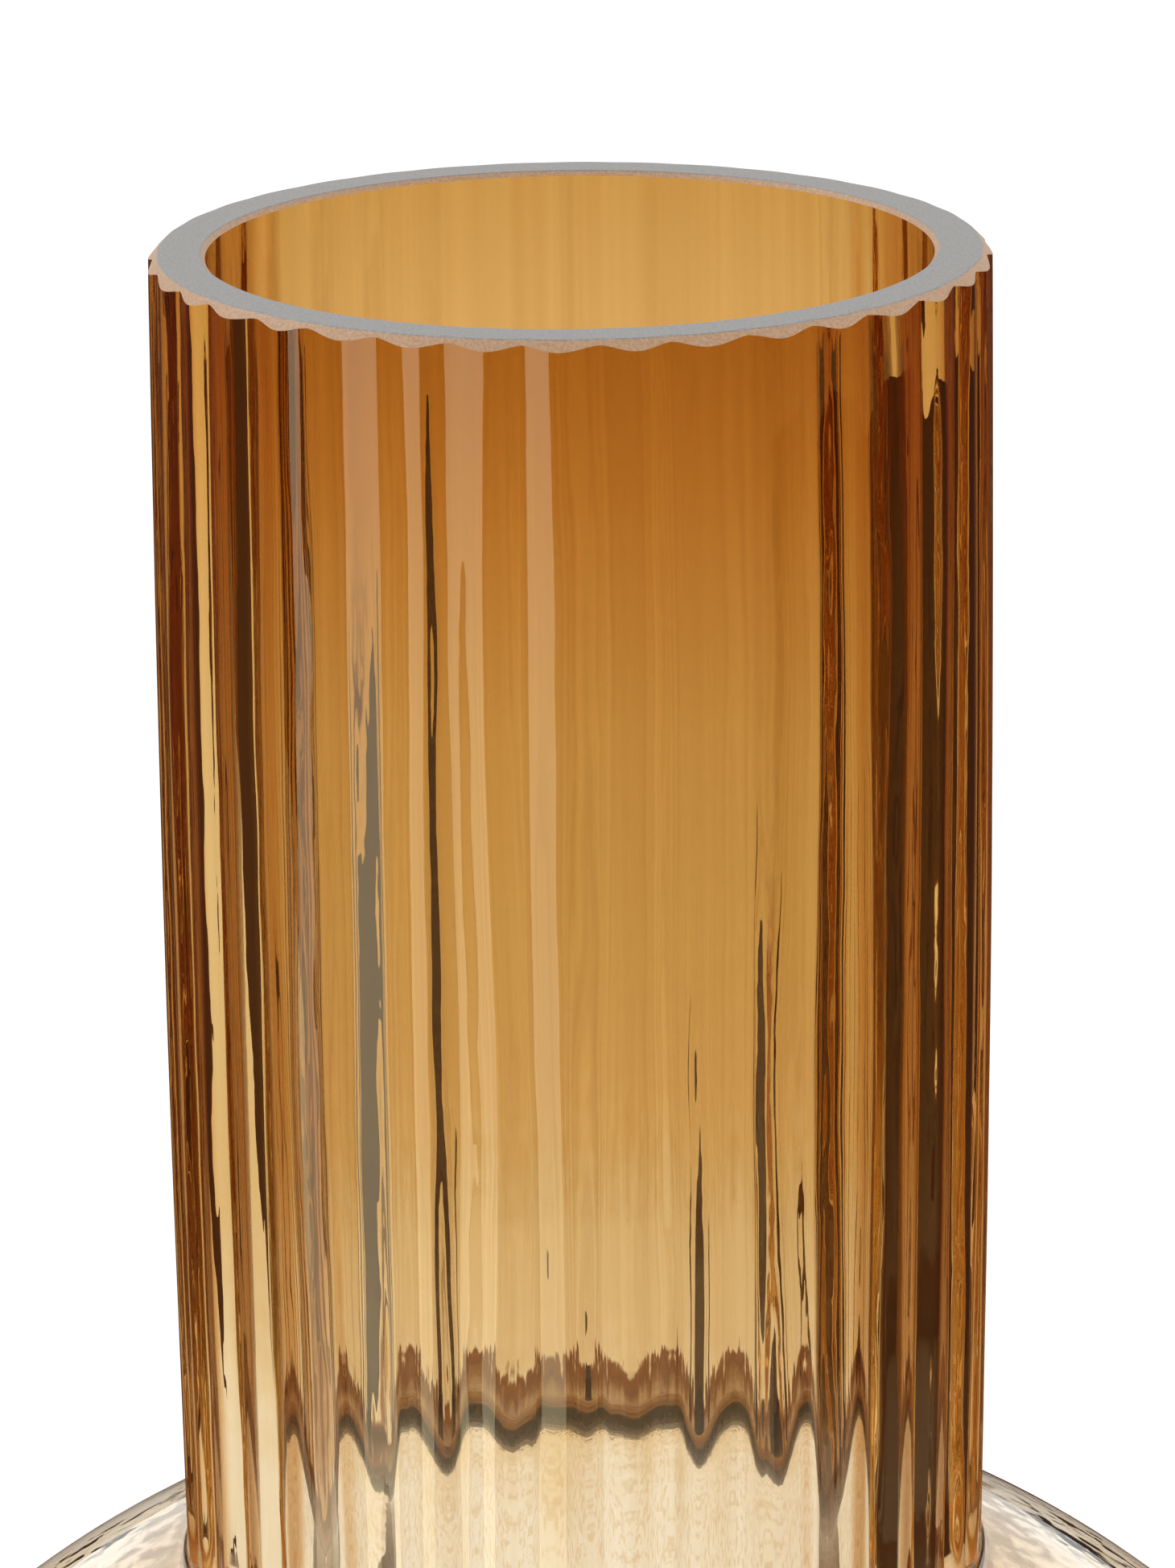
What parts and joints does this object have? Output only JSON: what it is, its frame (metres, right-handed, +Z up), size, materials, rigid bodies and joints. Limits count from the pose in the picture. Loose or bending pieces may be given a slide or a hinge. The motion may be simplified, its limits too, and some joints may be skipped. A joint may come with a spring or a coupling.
{
  "type": "glass vase",
  "caption": "Blown glass vase with a straight ribbed amber neck, ground rim and a wide round champagne bulb on a flat ground base.",
  "frame": {"origin": "centre of the ground face that the vase rests on", "axes": "+Z up along the vase's axis, towards the mouth; one rib crest of the neck points along -Y"},
  "size_m": [0.2, 0.2, 0.3154],
  "materials": {
    "champagne_glass": "clear blown glass, very pale champagne, fire-polished outside",
    "amber_glass": "honey amber blown glass, fire-polished ribs, satin ground rim and bevels"
  },
  "bodies": {
    "root": {"body": "champagne_glass", "neck": "amber_glass"}
  },
  "joints": []
}
